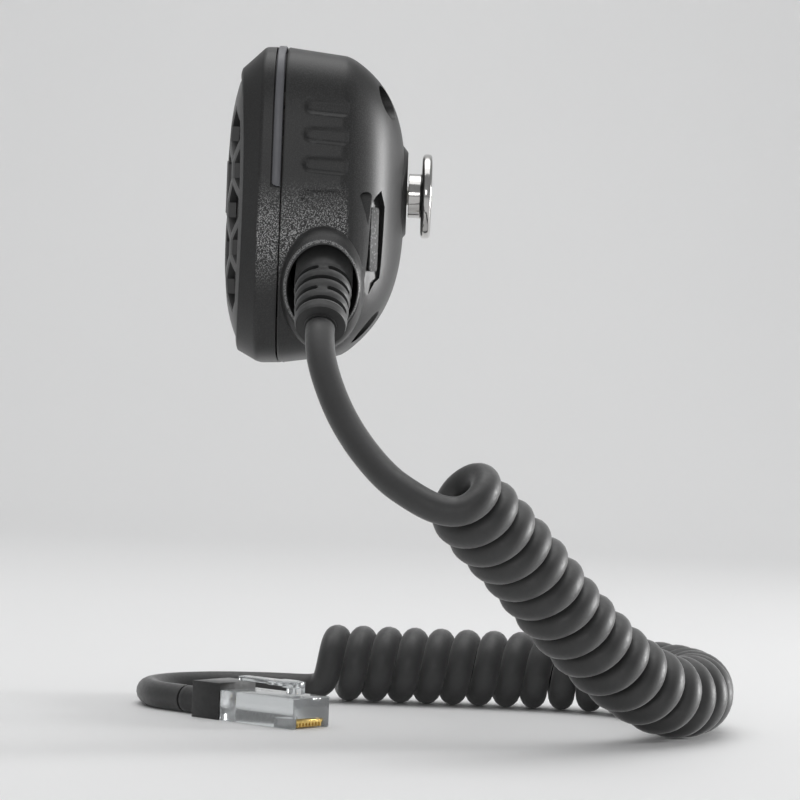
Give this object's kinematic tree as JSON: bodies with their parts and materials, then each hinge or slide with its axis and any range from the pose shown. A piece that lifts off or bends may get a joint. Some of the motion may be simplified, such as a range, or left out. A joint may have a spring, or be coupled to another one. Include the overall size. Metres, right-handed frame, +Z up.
{
  "type": "hand microphone",
  "caption": "Hand-held radio microphone with a honeycomb front grille, side press-to-talk bar, rear hang-up button and a curly cord ending in a modular plug.",
  "frame": {"origin": "centre of the outer face of the hang-up button on the back of the microphone", "axes": "+Z up along the microphone's height, +Y out of the back through the hang-up button, +X to the side where the cord leaves"},
  "size_m": [0.1242, 0.1339, 0.1454],
  "materials": {
    "shell": "moulded black plastic with spark-eroded grain, soft satin shoulders",
    "trim": "blue-grey satin plastic",
    "grille": "satin black plastic with polished rib edges",
    "cloth": "black dust cloth",
    "rubber": "matt black elastomer",
    "cord": "matt dark grey polyurethane jacket",
    "chrome": "bright chrome plate",
    "steel": "zinc-plated steel",
    "board": "green solder resist",
    "black": "black plastic",
    "gold": "gold-plated contacts",
    "clear": "translucent moulded plastic",
    "label": "blank silver-grey label"
  },
  "bodies": {
    "microphone": {"rear_shell": "shell", "front_shell": "shell", "trim_band": "trim", "mic_grille": "grille", "grille_cloth": "cloth", "label_plate": "label", "cartridge_ring": "rubber", "mic_cartridge": "steel", "cartridge_bracket": "steel", "bracket_screw_right": "steel", "bracket_screw_left": "steel", "circuit_board": "board", "board_screw_1": "steel", "board_screw_2": "steel", "ptt_switch": "black", "wire_header": "clear", "inner_cable": "cord", "cable_tie": "black", "ptt_pin": "steel", "hang_button": "chrome", "button_washer": "steel", "button_screw": "steel", "case_screw_top_right": "steel", "case_screw_top_left": "steel", "case_screw_bottom_right": "steel", "case_screw_bottom_left": "steel", "cord_boot": "rubber", "cord_lead": "cord", "cord_curl": "cord", "cord_tail": "cord", "plug_boot": "rubber", "plug_body": "clear", "plug_contacts": "gold"},
    "ptt_key": {"ptt_bar": "rubber"},
    "plunger": {"switch_plunger": "label"},
    "latch": {"plug_latch": "clear"}
  },
  "joints": [
    {"name": "ptt_press", "type": "hinge", "parent": "microphone", "child": "ptt_key", "pos_m": [-0.025, -0.0245, 0.0155], "axis": [0, -1, 0], "range_deg": [0, 3.4], "stiffness_Nm_per_rad": 1.2, "springref_deg": -0.57},
    {"name": "plunger_travel", "type": "slide", "parent": "microphone", "child": "plunger", "axis": [1, 0, 0], "range_m": [0, 0.0019]},
    {"name": "latch_flex", "type": "hinge", "parent": "microphone", "child": "latch", "pos_m": [0.00574, -0.02511, -0.1085], "axis": [0.7682, -0.6402, 0], "range_deg": [0, 6], "stiffness_Nm_per_rad": 0.45}
  ],
  "couplings": [
    {"joint": "plunger_travel", "follows": "ptt_press", "m_per_rad": 0.0315}
  ]
}
